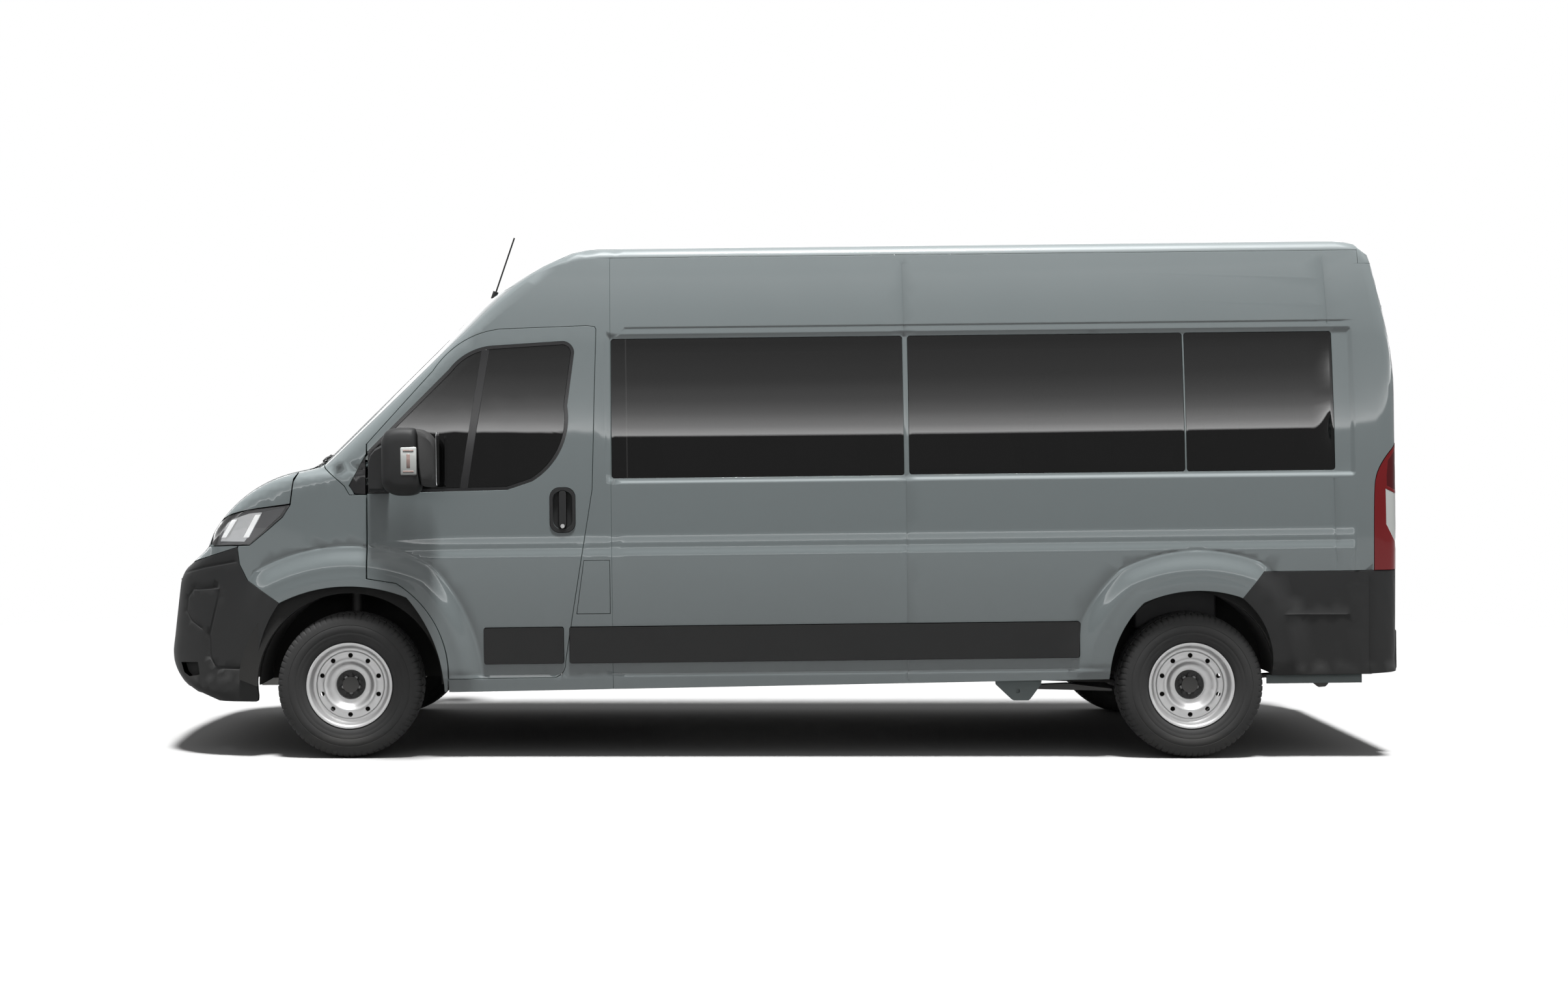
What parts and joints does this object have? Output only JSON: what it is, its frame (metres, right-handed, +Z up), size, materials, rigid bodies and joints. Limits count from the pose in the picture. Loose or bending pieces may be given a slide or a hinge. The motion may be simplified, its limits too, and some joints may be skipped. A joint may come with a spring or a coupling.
{
  "type": "minibus",
  "caption": "Long-wheelbase high-roof minibus with steered front wheels, hinged cab doors, twin rear doors, bonnet, glazed sides and rows of seats.",
  "frame": {"origin": "on the road under the middle of the vehicle's bounds", "axes": "+X rearward along the vehicle, +Y to its right-hand side, +Z up; the front faces -X"},
  "size_m": [6.043, 2.51, 2.5546],
  "materials": {
    "body_paint": "metallic grey-green gloss",
    "black_plastic": "grained matte",
    "tinted_glass": "tinted",
    "lamp_lens": "clear lens",
    "tail_lens": "red lens",
    "wheel_silver": "silver satin",
    "tyre": "matt",
    "chassis_black": "satin",
    "bare_steel": "dull",
    "seat_fabric": "woven",
    "trim_plastic": "grained",
    "floor_mat": "ribbed"
  },
  "bodies": {
    "body": {"wing_left": "body_paint", "wing_right": "body_paint", "roof": "body_paint", "side_panel_left": "body_paint", "side_panel_right": "body_paint", "sliding_door": "body_paint", "cab_side_left": "body_paint", "cab_side_right": "body_paint", "front_panels": "body_paint", "front_bumper": "black_plastic", "grille": "black_plastic", "rear_bumper": "black_plastic", "side_strips": "black_plastic", "aerial": "black_plastic", "arch_liners": "black_plastic", "fixed_glass": "tinted_glass", "headlamps": "lamp_lens", "tail_lamps": "tail_lens", "chassis_frame": "chassis_black", "rear_axle": "chassis_black", "rear_springs": "chassis_black", "front_suspension": "chassis_black", "body_hinges": "chassis_black", "engine_block": "bare_steel", "tank_and_exhaust": "bare_steel", "cab_seats": "seat_fabric", "bench_seats": "seat_fabric", "dashboard": "trim_plastic", "firewall": "trim_plastic", "floor_pan": "floor_mat"},
    "bonnet": {"bonnet": "body_paint"},
    "front_door_left": {"door_left": "body_paint", "door_glass_left": "tinted_glass", "door_trim_left": "black_plastic", "mirror_left": "black_plastic"},
    "front_door_right": {"door_right": "body_paint", "door_glass_right": "tinted_glass", "door_trim_right": "black_plastic", "mirror_right": "black_plastic"},
    "rear_door_left": {"rear_door_left": "body_paint", "rear_door_glass_left": "tinted_glass"},
    "rear_door_right": {"rear_door_right": "body_paint", "rear_door_glass_right": "tinted_glass"},
    "fuel_flap": {"fuel_flap": "body_paint"},
    "steering_wheel": {"steering_wheel": "trim_plastic"},
    "knuckle_left": {"knuckle_left": "chassis_black"},
    "knuckle_right": {"knuckle_right": "chassis_black"},
    "wheel_front_left": {"tyre_front_left": "tyre", "rim_front_left": "wheel_silver"},
    "wheel_front_right": {"tyre_front_right": "tyre", "rim_front_right": "wheel_silver"},
    "wheel_rear_left": {"tyre_rear_left": "tyre", "rim_rear_left": "wheel_silver"},
    "wheel_rear_right": {"tyre_rear_right": "tyre", "rim_rear_right": "wheel_silver"}
  },
  "joints": [
    {"name": "steer_left", "type": "hinge", "parent": "body", "child": "knuckle_left", "pos_m": [-2.056, -0.745, 0.348], "axis": [0, 0, 1], "range_deg": [-33, 33]},
    {"name": "steer_right", "type": "hinge", "parent": "body", "child": "knuckle_right", "pos_m": [-2.056, 0.745, 0.348], "axis": [0, 0, 1], "range_deg": [-33, 33]},
    {"name": "steering_wheel_turn", "type": "hinge", "parent": "body", "child": "steering_wheel", "pos_m": [-1.44612, -0.48, 1.25687], "axis": [0.6992, 0, 0.715], "range_deg": [-495, 495]},
    {"name": "roll_front_left", "type": "hinge", "parent": "knuckle_left", "child": "wheel_front_left", "pos_m": [-2.056, -0.895, 0.348], "axis": [0, 1, 0], "continuous": true},
    {"name": "roll_front_right", "type": "hinge", "parent": "knuckle_right", "child": "wheel_front_right", "pos_m": [-2.056, 0.895, 0.348], "axis": [0, 1, 0], "continuous": true},
    {"name": "roll_rear_left", "type": "hinge", "parent": "body", "child": "wheel_rear_left", "pos_m": [1.979, -0.895, 0.348], "axis": [0, 1, 0], "continuous": true},
    {"name": "roll_rear_right", "type": "hinge", "parent": "body", "child": "wheel_rear_right", "pos_m": [1.979, 0.895, 0.348], "axis": [0, 1, 0], "continuous": true},
    {"name": "bonnet_lift", "type": "hinge", "parent": "body", "child": "bonnet", "pos_m": [-2.32654, 0, 1.37904], "axis": [0, 1, 0], "range_deg": [0, 60]},
    {"name": "door_left_swing", "type": "hinge", "parent": "body", "child": "front_door_left", "pos_m": [-1.96618, -1.0208, 0.90104], "axis": [0.0112, -0.0225, -0.9997], "range_deg": [0, 70]},
    {"name": "door_right_swing", "type": "hinge", "parent": "body", "child": "front_door_right", "pos_m": [-1.96618, 1.0208, 0.90104], "axis": [-0.0112, -0.0225, 0.9997], "range_deg": [0, 70]},
    {"name": "rear_door_left_swing", "type": "hinge", "parent": "body", "child": "rear_door_left", "pos_m": [3.00036, -0.845, 1.59656], "axis": [0.0112, 0, -0.9999], "range_deg": [0, 180]},
    {"name": "rear_door_right_swing", "type": "hinge", "parent": "body", "child": "rear_door_right", "pos_m": [3.00036, 0.845, 1.59656], "axis": [-0.0112, 0, 0.9999], "range_deg": [0, 180]},
    {"name": "fuel_flap_swing", "type": "hinge", "parent": "body", "child": "fuel_flap", "pos_m": [-0.80764, -1.0165, 0.82397], "axis": [-0.0112, 0, 0.9999], "range_deg": [0, 90]}
  ],
  "couplings": [
    {"joint": "steer_right", "follows": "steer_left", "ratio": 1},
    {"joint": "steering_wheel_turn", "follows": "steer_left", "ratio": 15}
  ]
}
